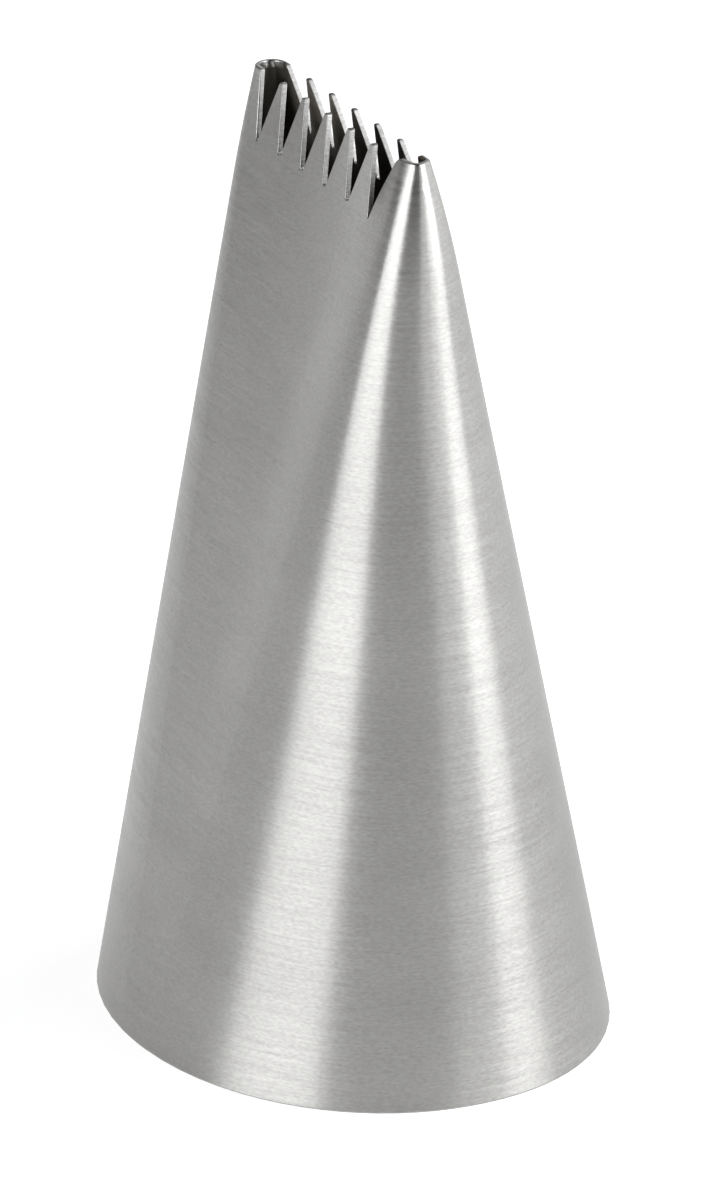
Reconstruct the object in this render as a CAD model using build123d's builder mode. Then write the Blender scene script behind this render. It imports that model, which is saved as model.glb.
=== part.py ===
"""Piping nozzle with a flat, toothed mouth.

The real nozzle is one piece of thin stainless steel: a cone drawn without a seam, pressed flat at its
narrow end until the mouth is a slot, and then cut with V notches straight through both long walls.
It stands on its open base, the mouth runs along X, and the origin is the middle of the base.
"""

import os
from math import atan, cos, sin, tan

from build123d import *

# Driving dimensions in millimetres
height = 52.0
base_length = 32.9
base_width = 27.1
mouth_length = 20.1
mouth_width = 1.85
wall = 0.3

# A base as wide as it is long would leave no flat between its two round ends
roundest_share = 0.98

# Row of notches, the same in the front and the back wall
notch_count = 6
notch_pitch = 2.74
notch_depth = 3.55
notch_floor = 0.2
tooth_land = 0.3
row_offset = -0.28

# Tooth corners are broken by tumbling
tooth_corner_radius = 0.08

# How far a cut runs past the metal
overrun = 1.0

# How much the walls lean in as the tube rises, and the outermost line of each round end
base_depth = min(base_width, base_length * roundest_share)
wall_slope = (base_depth - mouth_width) / 2 / height
end_slope = (base_length - mouth_length) / 2 / height

# Each end is part of a round cone that touches both flat walls, with its axis leaning along X
wall_angle = atan(wall_slope)
end_angle = atan(end_slope)
cone_angle = atan(sin(wall_angle) * cos(end_angle) / (1 - sin(wall_angle) * sin(end_angle)))
cone_lean = end_angle - cone_angle
touch_slope = tan(cone_lean) / cos(wall_angle) ** 2

# The row of notches stays in the straight run of the mouth
mouth_flat = mouth_length - mouth_width
row_pitch = min(notch_pitch, (mouth_flat - 2 * abs(row_offset)) / notch_count)
notch_mouth = row_pitch - tooth_land
notch_floor_height = height - notch_depth
notch_widening = (notch_mouth - notch_floor) / notch_depth
cut_top_width = notch_mouth + notch_widening * overrun
tooth_corner_reach = min(tooth_corner_radius, tooth_land / 3)


def tube_core(inset):
    """Solid that fills the tube to one distance from its outside: a wedge and two round ends."""
    half_length = base_length / 2 - inset
    low_width = base_depth / 2 - inset
    high_width = mouth_width / 2 - inset

    # Walls and ends would all meet at two points above the mouth, one over each end
    apex_height = low_width / wall_slope
    apex_reach = half_length - end_slope * apex_height
    low_reach = apex_reach + touch_slope * apex_height
    high_reach = apex_reach + touch_slope * (apex_height - height)

    # Wedge between the flat walls, as wide as they are flat
    with BuildPart() as wedge:
        with BuildSketch(Plane.YZ):
            Polygon(
                (-low_width, 0),
                (low_width, 0),
                (high_width, height),
                (-high_width, height),
                align=None,
            )
        extrude(amount=base_length, both=True)
        with BuildSketch(Plane.XZ):
            Polygon(
                (-low_reach, 0),
                (low_reach, 0),
                (high_reach, height),
                (-high_reach, height),
                align=None,
            )
        extrude(amount=base_width, both=True, mode=Mode.INTERSECT)

    # Cone turned about its leaning axis, kept beyond the wedge and between base and mouth
    apex = Vector(apex_reach, 0, apex_height)
    axis_run = Vector(sin(cone_lean), 0, -cos(cone_lean))
    cone_length = apex_height + base_length
    cone_foot = cone_length * tan(cone_angle)
    with BuildPart() as round_end:
        with BuildSketch(Plane(origin=apex, x_dir=axis_run, z_dir=(0, 1, 0))):
            Polygon((0, 0), (cone_length, 0), (cone_length, cone_foot), align=None)
        revolve(axis=Axis(apex, axis_run))
        with BuildSketch(Plane.XZ):
            Polygon(
                (low_reach, 0),
                (base_length, 0),
                (base_length, height),
                (high_reach, height),
                align=None,
            )
        extrude(amount=base_length, both=True, mode=Mode.INTERSECT)

    with BuildPart() as core:
        add(wedge.part)
        add(round_end.part)
        mirror(round_end.part, about=Plane.YZ)
    return core.part


# The tube is what is left between its outside and the bore, which is open at both ends
outside = tube_core(0)
bore = tube_core(wall)

with BuildPart() as nozzle_shell:
    add(outside)
    add(bore, mode=Mode.SUBTRACT)

    # One cutter outline per notch, pushed straight through the front and the back wall
    with BuildSketch(Plane.XZ):
        with Locations((row_offset, notch_floor_height)):
            with GridLocations(row_pitch, 0, notch_count, 1):
                Polygon(
                    (-notch_floor / 2, 0),
                    (notch_floor / 2, 0),
                    (cut_top_width / 2, notch_depth + overrun),
                    (-cut_top_width / 2, notch_depth + overrun),
                    align=None,
                )
    extrude(amount=base_width, both=True, mode=Mode.SUBTRACT)

    # Blunt tooth tips: the corners across the wall at the top of every flank
    rim_corners = nozzle_shell.edges().filter_by(Axis.Y).group_by(Axis.Z)[-1]
    fillet(rim_corners, tooth_corner_reach)

nozzle_shell.part.label = "nozzle_shell"

os.makedirs("parts", exist_ok=True)
export_step(nozzle_shell.part, "parts/nozzle_shell.step")

print("nozzle_shell volume", round(nozzle_shell.part.volume, 2), "mm3")
print("rim corners rounded", len(rim_corners))
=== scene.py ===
# %% [markdown]
# # A piping nozzle with a toothed slot for a mouth
#
# The real nozzle is one piece of thin stainless steel, a cone that is round at the base and pressed
# flat at the mouth. We load the measured solid first, so that all we build has its size and its place.
# The list of imports below holds only what Blender brings along.

from math import atan2, cos, exp, pi, radians, sin, tan

import bmesh
import bpy
import numpy as np
from mathutils import Matrix, Vector


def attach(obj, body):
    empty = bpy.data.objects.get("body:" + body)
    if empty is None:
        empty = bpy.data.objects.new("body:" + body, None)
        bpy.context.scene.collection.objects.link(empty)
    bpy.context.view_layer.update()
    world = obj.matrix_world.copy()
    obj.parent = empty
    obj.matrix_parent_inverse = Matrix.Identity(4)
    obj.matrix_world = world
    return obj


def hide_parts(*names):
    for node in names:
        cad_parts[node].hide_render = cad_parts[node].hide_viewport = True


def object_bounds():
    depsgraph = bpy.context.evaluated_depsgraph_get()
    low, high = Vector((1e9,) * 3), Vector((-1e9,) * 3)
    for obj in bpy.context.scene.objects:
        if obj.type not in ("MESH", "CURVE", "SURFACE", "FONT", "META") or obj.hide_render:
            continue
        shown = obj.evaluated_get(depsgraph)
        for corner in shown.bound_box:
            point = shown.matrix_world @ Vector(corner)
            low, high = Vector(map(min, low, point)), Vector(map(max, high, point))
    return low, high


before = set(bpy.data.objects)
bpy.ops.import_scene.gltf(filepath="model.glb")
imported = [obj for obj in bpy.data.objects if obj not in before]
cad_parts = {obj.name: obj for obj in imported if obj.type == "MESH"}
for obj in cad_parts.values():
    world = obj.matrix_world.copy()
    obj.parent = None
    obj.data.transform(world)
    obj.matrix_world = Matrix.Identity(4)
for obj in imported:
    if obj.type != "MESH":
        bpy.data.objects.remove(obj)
solid_low, solid_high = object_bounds()
print("solid runs from", tuple(round(v, 5) for v in solid_low), "to", tuple(round(v, 5) for v in solid_high))

# %% [markdown]
# ## The sizes we need
#
# Blender works in metres and the nozzle is measured in millimetres, so one value turns one into the
# other. The base and the height come from the loaded solid. The mouth and the teeth are typed here,
# because a box can't tell how wide a slot is.

# %% Sizes in millimetres
mm = 0.001
height = (solid_high.z - solid_low.z) / mm
base_reach = (solid_high.x - solid_low.x) / 2 / mm
base_half = (solid_high.y - solid_low.y) / 2 / mm
mouth_reach = 10.05
mouth_half = 0.925
wall = 0.3

notch_count = 6
notch_pitch = 2.74
notch_depth = 3.55
tooth_land = 0.32
row_offset = -0.28
corner_radius = 0.12

notch_mouth = notch_pitch - tooth_land
notch_height = height - notch_depth
print("tube", round(2 * base_reach, 2), "by", round(2 * base_half, 2), "mm, height", round(height, 2))

# %% [markdown]
# ## The oval at the base
#
# Seen from below the real base is a smooth oval with no straight run, a touch fuller than an ellipse.
# Sheet that is pressed flat doesn't stretch, so each straight line of the cone joins two places that
# face the same way. We therefore ask the oval for the place that faces a given way, not for the place
# at a given angle.

# %% Oval base
fullness = 2.055
base_touch = 1.5
mouth_touch = mouth_reach - mouth_half


def oval_point(facing, inset):
    """Place on the base oval whose outside faces a given way."""
    long, short = base_reach - inset, base_half - inset
    x = (abs(cos(facing)) * long**fullness) ** (1 / (fullness - 1))
    y = (abs(sin(facing)) * short**fullness) ** (1 / (fullness - 1))
    scale = ((x / long) ** fullness + (y / short) ** fullness) ** (-1 / fullness)
    return x * scale, (y if sin(facing) > 0 else -y) * scale


def oval_half(x, inset):
    """Half width of the base oval at a place along it."""
    long, short = base_reach - inset, base_half - inset
    return short * (1 - (abs(x) / long) ** fullness) ** (1 / fullness)


def touch_facing(inset):
    """Way that the oval faces where the pressed wall hands over to the round end."""
    long, short = base_reach - inset, base_half - inset
    y = oval_half(base_touch, inset)
    return atan2(y ** (fullness - 1) / short**fullness, base_touch ** (fullness - 1) / long**fullness)


def along(low, high, z):
    """Value that runs evenly from the base to the mouth."""
    return low + (high - low) * z / height


print("pressed walls hand over at", round(touch_facing(0) * 180 / pi, 1), "degrees from the length")

# %% [markdown]
# ## The row of notches
#
# A V notch is narrow at its floor and wide at the rim. What stays between two notches is a tooth, and
# what stays outside the row is a leg that runs on round the end of the slot. The notches are not quite
# alike: the last one is cut to a point and goes deepest, the others keep a narrow floor, and the row in
# the back wall goes in a little further. A worn cutter could leave them so.

# %% Places and widths of the notches
notch_places = [row_offset + (k - (notch_count - 1) / 2) * notch_pitch for k in range(notch_count)]
notch_floors = (0.16, 0.3, 0.3, 0.3, 0.3, 0.08)
deeper_in_front = (0.05, 0.0, 0.0, 0.0, 0.0, 0.1)
deeper_at_back = 0.2
back_radius = 0.15
leg_radius = 0.34
sag_reach = 0.9
sag_height = 2.5


def notch_half(number, z):
    """Half the width of a notch at one height."""
    rise = (z - notch_height) / notch_depth
    return (notch_floors[number] + (notch_mouth - notch_floors[number]) * rise) / 2


def corner_inset(number, z, face_side):
    """How far the rounded tip of one tooth or leg has drawn in at one height."""
    if number == notch_count:
        radius = leg_radius
    else:
        radius = corner_radius if face_side < 0 else back_radius
    over = max(0.0, 1 - (height - z) / radius)
    return radius * (1 - (1 - min(over, 1.0) ** 2) ** 0.5)


def sag(x, z, face_side):
    """How much lower a place of the wall lies because the notch next to it was cut deeper."""
    number = min(range(notch_count), key=lambda k: abs(x - notch_places[k]))
    deeper = deeper_in_front[number] if face_side < 0 else deeper_at_back
    near_notch = max(0.0, 1 - abs(x - notch_places[number]) / sag_reach)
    near_floor = max(0.0, 1 - abs(z - notch_height) / sag_height)
    return deeper * near_notch * near_floor


print("notches at", [round(x, 2) for x in notch_places])

# %% [markdown]
# ## Rows and columns
#
# The shell could be cut with booleans, but a boolean leaves long thin triangles that shade badly on
# curved bright metal. We lay out our own grid of quads instead: rows go up the tube, columns follow
# its straight lines, and the columns of the flat walls are placed so that the notches fall between
# them. The rows stand closer in the teeth, because most of the small forms are there.

# %% Heights of the rows
low_row_count = 61
tooth_row_count = 34
tip_angles = (22, 42, 60, 76, 90)
low_rows = list(np.linspace(0, notch_height, low_row_count))
tooth_rows = list(np.linspace(notch_height, height - corner_radius, tooth_row_count))
tip_rows = [height - corner_radius * (1 - sin(radians(a))) for a in tip_angles]
high_rows = tooth_rows + tip_rows
leg_columns = 4
tooth_columns = 4
end_columns = 36
print(len(low_rows), "rows below the teeth and", len(high_rows), "rows in the teeth")

# %% [markdown]
# ## The crease at the near end
#
# A press never closes both ends of a slot alike. The far end of this one stayed round, and the near
# end was folded to a crease that leans to the front. Walking round that crease, the sheet turns
# slowly, then sharply, then slowly again. We write it as a chain of arcs, each with the way that it
# faces at its start and its end and its length. An arc's radius is its length divided by its turn.

# %% Crease as a chain of arcs
crease_start = (8.2, -0.69)
crease_arcs = (
    (-90, -84, 0.10),
    (-84, -67, 0.60),
    (-67, -44, 0.36),
    (-44, 10, 0.31),
    (10, 40, 0.72),
    (40, 90, 0.40),
)


def crease_point(facing):
    """Place on the folded near end of the mouth that faces a given way."""
    x, y = crease_start
    for start, end, length in crease_arcs:
        start, end = radians(start), radians(end)
        radius = length / (end - start)
        reached = min(max(facing, start), end)
        x += radius * (cos(reached) - cos(start))
        y += radius * (sin(reached) - sin(start))
    return x, y


print("crease comes out to", round(max(crease_point(radians(a))[0] for a in range(-90, 91)), 2), "mm")

# %% [markdown]
# ## How the pressing dies away
#
# The crease is deepest at the mouth and is gone a few millimetres lower. Below it the front of the near
# end stands out in a soft shoulder. This is read from how the bright stripes bend there, and a lamp in
# another place could bend them too, so it is a guess at the form. Both are given as a share by height,
# and the shoulder also by the way the sheet faces.

# %% Shares of the pinch and the shoulder
pinch_start = 0.87 * height
far_pinch = 0.37
shoulder_most = 0.6
shoulder_rise = 2.6
shoulder_run = 5.0
shoulder_facings = np.radians((-90, -75, -60, -45, -30, -15, 0, 12, 24, 36, 50, 64, 80, 90))
shoulder_shares = (0.55, 0.58, 0.45, 0.24, 0.0, -0.26, -0.44, -0.48, -0.48, -0.44, -0.3, -0.13, 0.0, 0.0)


def pinch(z):
    """Share of the pinch that has been reached at one height."""
    rise = max(0.0, (z - pinch_start) / (height - pinch_start))
    return rise * rise


def shoulder(z):
    """How far the front of the near end stands out at one height."""
    return shoulder_most * sin(pi * min(1.0, (z / height) ** shoulder_rise))


def shoulder_share(angle):
    """Share of the shoulder by the way that the near end faces: out at the front, in at the nose."""
    return float(np.interp(angle, shoulder_facings, shoulder_shares))


def flat_reach(z, side, face_side):
    """End of the flat wall at one height: near or far end, front or back wall."""
    if side > 0:
        drawn_in = mouth_touch - crease_point(face_side * pi / 2)[0]
    else:
        drawn_in = far_pinch
    return along(base_touch, mouth_touch, z) - pinch(z) * drawn_in


print("shoulder at 40 mm stands out by", round(shoulder(40) * shoulder_share(-pi / 2), 2), "mm")

# %% [markdown]
# ## From a flat drawing to the tube
#
# A point of the shell has a wall, a place along it and a height. The flat walls take the place as a
# length, the round ends take it as an angle. The inside is the same drawing with the wall thickness
# taken off. At the far end the inside of the rim has a small bright slope, as a scraper leaves when it
# breaks the edge. The dents are small knocks near the mouth, each with the way it faces, its height,
# its depth and how far it spreads.

# %% Places on the flat walls and the round ends
bend_start = 6.6
bend_run = 1.0
scraped_height = 0.35
scraped_depth = 0.1
rim_radius = 0.08
rim_radius_change = 0.035
dents = (
    (-58, 51.2, 0.015, 14, 0.1),
    (-58, 50.3, 0.015, 14, 0.1),
    (5, 50.8, 0.025, 4, 0.16),
)


def rounded(inset, z, facing_y):
    """Distance from the outside, with the rim rounded off across the wall, more so at the back."""
    radius = rim_radius + rim_radius_change * facing_y
    over = min(1.0, max(0.0, 1 - (height - z) / radius))
    drawn_in = radius * (1 - (1 - over**2) ** 0.5)
    return drawn_in + inset * (1 - 2 * drawn_in / wall)


def dent(angle, z):
    """How far the folded end is knocked in at one place."""
    depth = 0.0
    for facing, middle, most, width, tall in dents:
        depth += most * exp(-(((angle - radians(facing)) / radians(width)) ** 2) - ((z - middle) / tall) ** 2)
    return depth * cos(angle) ** 2


def flat_point(x, z, face_side, inset):
    """The pressed wall: flat at the mouth, and on the oval at the base."""
    inset = rounded(inset, z, face_side)
    reach = flat_reach(z, 1 if x > 0 else -1, face_side)
    half = along(oval_half(base_touch * min(1.0, abs(x) / reach), inset), mouth_half - inset, z)
    if x > 0:
        bent = min(1.0, max(0.0, (x - bend_start) / bend_run))
        moved = crease_point(face_side * pi / 2)[1] - face_side * mouth_half
        half += face_side * moved * pinch(z) * bent * bent * (3 - 2 * bent)
        if face_side < 0:
            run = min(1.0, (reach - x) / min(shoulder_run, reach))
            half += shoulder(z) * shoulder_share(-pi / 2) * (1 + cos(pi * run)) / 2
    return (x, face_side * half, z - sag(x, z, face_side))


def end_point(angle, z, end_side, inset):
    """The round end: angle is the way that it faces at the mouth."""
    scraped = max(0.0, 1 - (height - z) / scraped_height) if end_side < 0 else 0.0
    inset = rounded(inset, z, sin(angle)) - scraped_depth * scraped * cos(angle) ** 2 * inset / wall
    x, y = oval_point(angle * touch_facing(inset) / (pi / 2), inset)
    nose = mouth_half - inset
    x = along(x, mouth_touch + nose * cos(angle), z)
    y = along(y, nose * sin(angle), z)
    if end_side < 0:
        return (-(x - pinch(z) * far_pinch), y, z)
    crease_x, crease_y = crease_point(angle)
    x += pinch(z) * (crease_x - mouth_touch - mouth_half * cos(angle))
    y += pinch(z) * (crease_y - mouth_half * sin(angle))
    out = shoulder(z) * shoulder_share(angle) - dent(angle, z)
    return (x + out * cos(angle), y + out * sin(angle), z)


print("nose of the mouth at", [round(v, 2) for v in end_point(0, height, 1, 0)])

# %% [markdown]
# ## Tables of points become faces
#
# One dictionary remembers each vertex by its place, so neighbouring patches share their seams and the
# shell closes without a merge. Each patch is a small table of points, and every four neighbours in it
# make one face. The kind of a face tells which finish it gets later: outside, inside with its painted
# shade, cut edge, or a notch floor painted almost white as a painted highlight.

# %% Vertices and patches
vertices = []
vertex_at = {}
faces = []
face_kinds = []
outside_kind, inside_kind, cut_kind, painted_highlight_floor_kind = 0, 1, 2, 3


def vertex(point):
    key = tuple(round(v, 5) for v in point)
    if key not in vertex_at:
        vertex_at[key] = len(vertices)
        vertices.append([v * mm for v in point])
    return vertex_at[key]


def patch(table, kind, flip):
    """Faces between the rows of a table of points."""
    for low, high in zip(table, table[1:]):
        for k in range(len(low) - 1):
            corners = [vertex(p) for p in (low[k], low[k + 1], high[k + 1], high[k])]
            corners = list(dict.fromkeys(corners))
            if len(corners) > 2:
                faces.append(corners[::-1] if flip else corners)
                face_kinds.append(kind)


print("ready to lay patches")

# %% [markdown]
# ## Columns of the flat walls
#
# Below the notches the columns fan out from the notch floors to the base. Between the notches every
# tooth and leg has its own few columns, from one cut flank to the next. Both lists are made by one
# function each, and the cut faces will use the same functions, so that their seams meet.

# %% Columns below and between the notches
def strip_columns(number):
    return leg_columns if number in (0, notch_count) else tooth_columns


def strip_edges(number, z, face_side):
    """Left and right edge of one leg or tooth at one height."""
    left, right = -flat_reach(z, -1, face_side), flat_reach(z, 1, face_side)
    if number > 0:
        left = notch_places[number - 1] + notch_half(number - 1, z) + corner_inset(number, z, face_side)
    if number < notch_count:
        right = notch_places[number] - notch_half(number, z) - corner_inset(number, z, face_side)
    return left, right


def strip_places(number, z, face_side):
    left, right = strip_edges(number, z, face_side)
    return list(np.linspace(left, right, strip_columns(number) + 1))


def low_places(z, face_side):
    """Places along the wall below the notches, from the far end to the near one."""
    places = []
    for number in range(notch_count + 1):
        places += strip_places(number, notch_height, face_side)
    shrink_near = flat_reach(z, 1, face_side) / flat_reach(notch_height, 1, face_side)
    shrink_far = flat_reach(z, -1, face_side) / flat_reach(notch_height, -1, face_side)
    return [x * (shrink_near if x > 0 else shrink_far) for x in places]


print(len(low_places(0, -1)), "columns in each flat wall")

# %% [markdown]
# ## The two skins
#
# The outside and the inside are laid in the same way, the inside one wall thickness further in and
# turned over, so that both show their good side to the air.

# %% Outside and inside
end_angles = np.linspace(-pi / 2, pi / 2, end_columns + 1)


def flat_wall(face_side, inset, kind):
    flip = (face_side > 0) == (inset == 0)
    low_table = []
    for z in low_rows:
        low_table.append([flat_point(x, z, face_side, inset) for x in low_places(z, face_side)])
    patch(low_table, kind, flip)
    for number in range(notch_count + 1):
        table = []
        for z in high_rows:
            table.append([flat_point(x, z, face_side, inset) for x in strip_places(number, z, face_side)])
        patch(table, kind, flip)


def round_end(end_side, inset, kind):
    flip = (end_side < 0) == (inset == 0)
    heights = low_rows[:-1] + high_rows
    table = [[end_point(a, z, end_side, inset) for a in end_angles] for z in heights]
    slope = sum(z > height - scraped_height for z in heights) if end_side < 0 and inset else 0
    patch(table[: len(table) - slope], kind, flip)
    patch(table[len(table) - slope - 1 :], cut_kind if slope else kind, flip)


for inset, kind in ((0, outside_kind), (wall, inside_kind)):
    for side in (-1, 1):
        flat_wall(side, inset, kind)
        round_end(side, inset, kind)
print(len(vertices), "vertices and", len(faces), "faces in the two skins")

# %% [markdown]
# ## The cut edges
#
# Where the sheet was cut you see its thickness: the floors and flanks of the notches, the tops of the
# teeth, the rim round both ends of the slot, and the edge that the nozzle stands on. Each is a ribbon
# from the outside to the inside of the wall.

# %% Ribbons across the wall
def ribbon(places, flip, kind=cut_kind):
    """One row of faces between the outer and the inner line of a cut."""
    patch([[place(0) for place in places], [place(wall) for place in places]], kind, flip)


def on_wall(x, z, face_side):
    return lambda inset: flat_point(x, z, face_side, inset)


def on_end(angle, z, end_side):
    return lambda inset: end_point(angle, z, end_side, inset)


for face_side in (-1, 1):
    for number, place in enumerate(notch_places):
        half = notch_half(number, notch_height)
        floor_ends = [on_wall(place + hand * half, notch_height, face_side) for hand in (-1, 1)]
        # The notch floors get a painted highlight: a finish painted almost white for the bright ledge at each
        # floor.
        ribbon(floor_ends, face_side > 0, painted_highlight_floor_kind)
        left_of = [on_wall(strip_edges(number, z, face_side)[1], z, face_side) for z in high_rows]
        right_of = [on_wall(strip_edges(number + 1, z, face_side)[0], z, face_side) for z in high_rows]
        ribbon(left_of, face_side < 0)
        ribbon(right_of, face_side > 0)
    for number in range(notch_count + 1):
        top = [on_wall(x, height, face_side) for x in strip_places(number, height, face_side)]
        ribbon(top, face_side > 0)
    ribbon([on_wall(x, 0, face_side) for x in low_places(0, face_side)], face_side < 0)
for end_side in (1, -1):
    for z in (0, height):
        ribbon([on_end(a, z, end_side) for a in end_angles], (end_side < 0) != (z == 0))
print(len(vertices), "vertices and", len(faces), "faces in the closed shell")

# %% [markdown]
# ## The mesh, and a test that it is closed
#
# A shell of real sheet has no gap, so every edge of the mesh must have two faces, both turned the
# same way. We count the edges that fail, and print the metal's volume.

# %% Mesh
mesh = bpy.data.meshes.new("nozzle_metal")
mesh.from_pydata(vertices, [], faces)
mesh.update()
for polygon, kind in zip(mesh.polygons, face_kinds):
    polygon.material_index = kind
    polygon.use_smooth = True
nozzle = bpy.data.objects.new("nozzle_metal", mesh)
bpy.context.scene.collection.objects.link(nozzle)

shell = bmesh.new()
shell.from_mesh(mesh)
open_edges = [e for e in shell.edges if len(e.link_faces) != 2]
turned_edges = [e for e in shell.edges if len(e.link_faces) == 2 and not e.is_contiguous]
print("open edges", len(open_edges), "and turned edges", len(turned_edges))
print("metal", round(shell.calc_volume() / mm**3, 1), "mm3")

# %% [markdown]
# ## Worn edges
#
# No edge of a tumbled steel part is sharp. A Bevel modifier rounds the edges between a skin and a cut
# face, and a weight on each edge says how much. The rim that the nozzle stands on is rounded most. The
# left flank of the first notch has a bright line, as if rubbed, so its edge gets a wider round. The top
# of the teeth is rounded in the grid already and gets no bevel.

# %% Bevel weights
edge_layers = shell.edges.layers.float
weights = edge_layers.get("bevel_weight_edge") or edge_layers.new("bevel_weight_edge")
common_weight, base_weight, rubbed_weight = 0.3, 1.0, 0.75
rubbed_place = (notch_places[0] - notch_mouth / 4) * mm
rubbed_reach = notch_mouth / 4 * mm
rubbed_top = (height - 0.7) * mm
top_edge = (height - 0.01) * mm
worn = 0
for edge in shell.edges:
    kinds = sorted(f.material_index for f in edge.link_faces)
    if kinds[0] >= cut_kind or kinds[1] < cut_kind:
        continue
    middle = (edge.verts[0].co + edge.verts[1].co) / 2
    edge[weights] = common_weight if middle.z < top_edge else 0.0
    if kinds[0] == outside_kind and middle.z < mm:
        edge[weights] = base_weight
    elif kinds[0] == outside_kind and middle.y < 0 and abs(middle.x - rubbed_place) < rubbed_reach:
        if notch_height * mm < middle.z < rubbed_top:
            edge[weights] = rubbed_weight
    worn += edge[weights] > 0
shell.to_mesh(mesh)
shell.free()

bevel = nozzle.modifiers.new("worn edges", "BEVEL")
bevel.limit_method = "WEIGHT"
bevel.width = 0.12 * mm
bevel.segments = 2
bevel.use_clamp_overlap = False
bevel.harden_normals = True
print(worn, "edges are worn round")

# %% [markdown]
# ## Small tools for the steel
#
# Brushed steel is not one grey. Seen close it has grain, lines that run round the cone and soft
# clouds, and each is a noise with its own stretch. These helpers make one stretched noise, turn a
# noise into a range of values, and multiply two values.

# %% Noise helpers
def stretched_noise(nodes, links, place, scale, detail):
    """Noise in the nozzle's own coordinates, with one scale for each direction."""
    stretch = nodes.new("ShaderNodeMapping")
    stretch.inputs["Scale"].default_value = scale
    links.new(place.outputs["Object"], stretch.inputs["Vector"])
    texture = nodes.new("ShaderNodeTexNoise")
    texture.inputs["Scale"].default_value = 1.0
    texture.inputs["Detail"].default_value = detail
    links.new(stretch.outputs["Vector"], texture.inputs["Vector"])
    return texture.outputs["Fac"]


def spread(nodes, links, value, low, high, start=0.3, end=0.7):
    """Turns a noise into a range of values."""
    ranged = nodes.new("ShaderNodeMapRange")
    ranged.inputs["From Min"].default_value = start
    ranged.inputs["From Max"].default_value = end
    ranged.inputs["To Min"].default_value = low
    ranged.inputs["To Max"].default_value = high
    links.new(value, ranged.inputs["Value"])
    return ranged.outputs["Result"]


def times(nodes, links, first, second):
    product = nodes.new("ShaderNodeMath")
    product.operation = "MULTIPLY"
    links.new(first, product.inputs[0])
    links.new(second, product.inputs[1])
    return product.outputs[0]


print("noise helpers are ready")

# %% [markdown]
# ## The finish of the steel
#
# A brush that runs round the cone leaves grooves along Z's circles, so a highlight is drawn out
# upright, across them. That is what anisotropy does: the tangent runs round Z and the rotation of a
# quarter turn stretches the gloss the right way. Grain, lines and clouds change the colour a little,
# the lines also change the gloss, and the grain is a faint relief that makes the edges of a highlight
# sparkle. The inside is rougher, because the tool leaves it dull, and its colour is painted darker
# as painted shade for the shade inside the tube. A cut edge is paler, and the floor of each notch is
# painted almost white as a painted highlight.

# %% Steel
def steel(name, colour, roughness, grain, streak, cloud, relief):
    material = bpy.data.materials.new(name)
    material.use_nodes = True
    nodes, links = material.node_tree.nodes, material.node_tree.links
    shader = nodes["Principled BSDF"]
    shader.inputs["Metallic"].default_value = 1.0
    shader.inputs["Specular Tint"].default_value = (0.85, 0.85, 0.85, 1)
    shader.inputs["Anisotropic"].default_value = 0.8
    shader.inputs["Anisotropic Rotation"].default_value = 0.25
    tangent = nodes.new("ShaderNodeTangent")
    tangent.direction_type = "RADIAL"
    tangent.axis = "Z"
    links.new(tangent.outputs["Tangent"], shader.inputs["Tangent"])

    place = nodes.new("ShaderNodeTexCoord")
    fine = stretched_noise(nodes, links, place, (3400, 3400, 9500), 2.0)
    lines = stretched_noise(nodes, links, place, (260, 260, 6500), 3.0)
    clouds = stretched_noise(nodes, links, place, (110, 110, 220), 2.0)
    shade = times(
        nodes,
        links,
        spread(nodes, links, fine, 1 - grain, 1 + grain),
        spread(nodes, links, lines, 1 - streak, 1 + streak),
    )
    shade = times(nodes, links, shade, spread(nodes, links, clouds, 1 - cloud, 1 + cloud))
    tone = nodes.new("ShaderNodeVectorMath")
    tone.operation = "SCALE"
    tone.inputs[0].default_value = colour
    links.new(shade, tone.inputs["Scale"])
    links.new(tone.outputs["Vector"], shader.inputs["Base Color"])
    links.new(spread(nodes, links, lines, roughness - 0.05, roughness + 0.05), shader.inputs["Roughness"])

    bump = nodes.new("ShaderNodeBump")
    bump.inputs["Strength"].default_value = relief
    bump.inputs["Distance"].default_value = 0.01 * mm
    links.new(fine, bump.inputs["Height"])
    links.new(bump.outputs["Normal"], shader.inputs["Normal"])
    mesh.materials.append(material)


steel("brushed_outside", (0.375, 0.37, 0.36), 0.34, 0.1, 0.08, 0.05, 0.36)
# Painted shade: the inside's dark colour stands in for the shade inside the tube; only its roughness is the
# dull finish.
steel("dull_inside_painted_shade", (0.14, 0.128, 0.112), 0.5, 0.1, 0.05, 0.05, 0.3)
steel("cut_edge", (0.46, 0.455, 0.445), 0.36, 0.2, 0.0, 0.05, 0.6)
# Painted highlight: the notch floor is painted almost white, far paler than the steel, to show a bright
# ledge.
steel("notch_floor_painted_highlight", (0.95, 0.94, 0.92), 0.3, 0.05, 0.0, 0.0, 0.1)
print("finishes:", [material.name for material in mesh.materials])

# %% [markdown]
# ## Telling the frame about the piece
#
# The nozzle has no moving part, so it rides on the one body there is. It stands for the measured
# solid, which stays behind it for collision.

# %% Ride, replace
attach(nozzle, "root")
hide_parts("nozzle_shell")
print("nozzle_metal stands for nozzle_shell")

# %% [markdown]
# ## The floor
#
# A plain sheet of white paper, large enough to fill the view. Its own colour is a light grey that
# shows the shadow, and a glow that only the camera and reflections see lifts it to white. The glow
# throws no light on the nozzle.

# %% White paper
floor_mesh = bpy.data.meshes.new("studio_floor")
floor_mesh.from_pydata([(-3, -3, 0), (3, -3, 0), (3, 3, 0), (-3, 3, 0)], [], [(0, 1, 2, 3)])
floor = bpy.data.objects.new("studio_floor", floor_mesh)
bpy.context.scene.collection.objects.link(floor)

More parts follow.
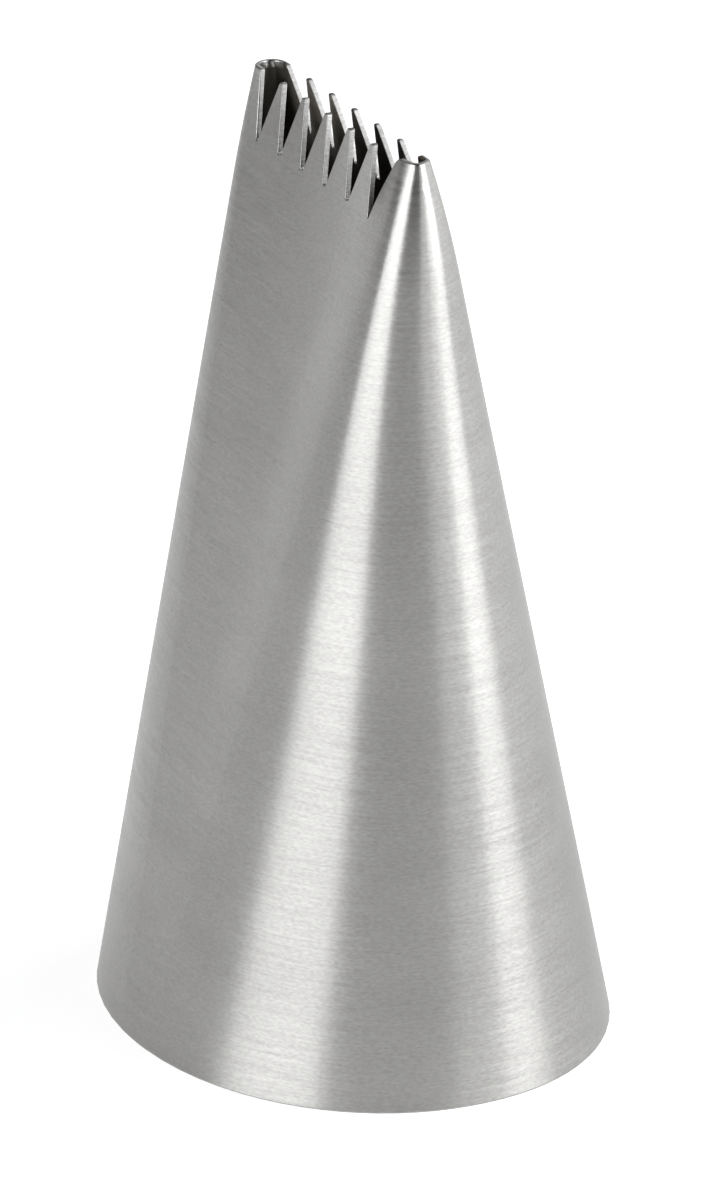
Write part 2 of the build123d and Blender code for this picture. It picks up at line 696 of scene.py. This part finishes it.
paper = bpy.data.materials.new("white_paper")
paper.use_nodes = True
nodes, links = paper.node_tree.nodes, paper.node_tree.links
shader = nodes["Principled BSDF"]
shader.inputs["Base Color"].default_value = (0.76, 0.76, 0.76, 1)
shader.inputs["Roughness"].default_value = 0.9
shader.inputs["Specular IOR Level"].default_value = 0.0
rays = nodes.new("ShaderNodeLightPath")
seen = rays.outputs["Is Camera Ray"]
for ray in ("Is Glossy Ray", "Is Transmission Ray"):
    either = nodes.new("ShaderNodeMath")
    either.operation = "MAXIMUM"
    links.new(seen, either.inputs[0])
    links.new(rays.outputs[ray], either.inputs[1])
    seen = either.outputs[0]
glow = nodes.new("ShaderNodeMath")
glow.operation = "MULTIPLY"
glow.inputs[1].default_value = 0.66
links.new(seen, glow.inputs[0])
shader.inputs["Emission Color"].default_value = (1, 1, 1, 1)
links.new(glow.outputs[0], shader.inputs["Emission Strength"])
floor_mesh.materials.append(paper)
print("floor is", [round(v, 1) for v in floor.dimensions], "m")

# %% [markdown]
# ## The light of the room
#
# The bright stripes on the metal are reflections of lamps, so the room itself stays dim: it only
# keeps the darkest places from going black.

# %% Room
world = bpy.data.worlds.new("studio")
bpy.context.scene.world = world
world.use_nodes = True
world.node_tree.nodes["Background"].inputs["Color"].default_value = (1, 1, 1, 1)
world.node_tree.nodes["Background"].inputs["Strength"].default_value = 0.06
print("room light", world.node_tree.nodes["Background"].inputs["Strength"].default_value)

# %% [markdown]
# ## The softboxes
#
# A cone shows each lamp as an upright stripe. Where the stripe lies tells the lamp's direction, its
# width tells the angle that the lamp fills, and its brightness tells the lamp's radiance. So each lamp
# is placed by these three, and its watts follow: radiance times pi times the lamp's area.

# %% Lamps
lamp_distance = 0.8


def softbox(name, azimuth, spread_angle, radiance, low=0.0, high=0.9):
    """Upright soft lamp that fills a given angle, seen from the nozzle."""
    lamp = bpy.data.lights.new(name, "AREA")
    lamp.shape = "RECTANGLE"
    lamp.size = 2 * lamp_distance * tan(radians(spread_angle) / 2)
    lamp.size_y = high - low
    lamp.energy = radiance * pi * lamp.size * lamp.size_y
    lamp.color = (0.98, 0.99, 1.0)
    holder = bpy.data.objects.new(name, lamp)
    bpy.context.scene.collection.objects.link(holder)
    turn = radians(azimuth)
    holder.location = (lamp_distance * cos(turn), lamp_distance * sin(turn), (low + high) / 2)
    holder.rotation_euler = Vector((-cos(turn), -sin(turn), 0)).to_track_quat("-Z", "Y").to_euler()
    print(name, "gives", round(lamp.energy, 2), "W")


softbox("left_softbox", -82, 43, 4.15)
softbox("right_softbox", 50, 27, 5.7)
softbox("right_shoulder", 24, 28, 1.2)
softbox("back_fill", 95, 52, 1.65)
softbox("rim_light", 154, 34, 0.75, low=0.25, high=0.75)

# %% [markdown]
# ## The camera
#
# The photograph was taken from well above and a little to one side, with a long lens from far away.
# We build the camera's three directions from its azimuth, elevation and roll, and let it look at a
# point inside the tube. The lens is given in millimetres for a sensor 36 mm tall.

# %% Camera
azimuth, elevation, roll = radians(63.6526), radians(22.2427), radians(-0.5148)
back = Vector((sin(azimuth) * cos(elevation), -cos(azimuth) * cos(elevation), sin(elevation)))
right = Vector((cos(azimuth), sin(azimuth), 0))
up = back.cross(right)
right_rolled = cos(roll) * right + sin(roll) * up
up_rolled = -sin(roll) * right + cos(roll) * up
aim = Vector((0.6042 * cos(azimuth), 0.6042 * sin(azimuth), 23.6232)) * mm

lens = bpy.data.cameras.new("camera")
lens.lens = 10950.7749 / 1200 * 36
lens.sensor_width = 36
lens.clip_start = 0.01
lens.clip_end = 20
camera = bpy.data.objects.new("camera", lens)
bpy.context.scene.collection.objects.link(camera)
turn = Matrix((right_rolled, up_rolled, back)).transposed().to_4x4()
camera.matrix_world = Matrix.Translation(aim + back * 0.6) @ turn
bpy.context.scene.camera = camera
bpy.context.scene.view_settings.view_transform = "Standard"
print("lens", round(lens.lens, 1), "mm, camera at", [round(v, 3) for v in camera.location])
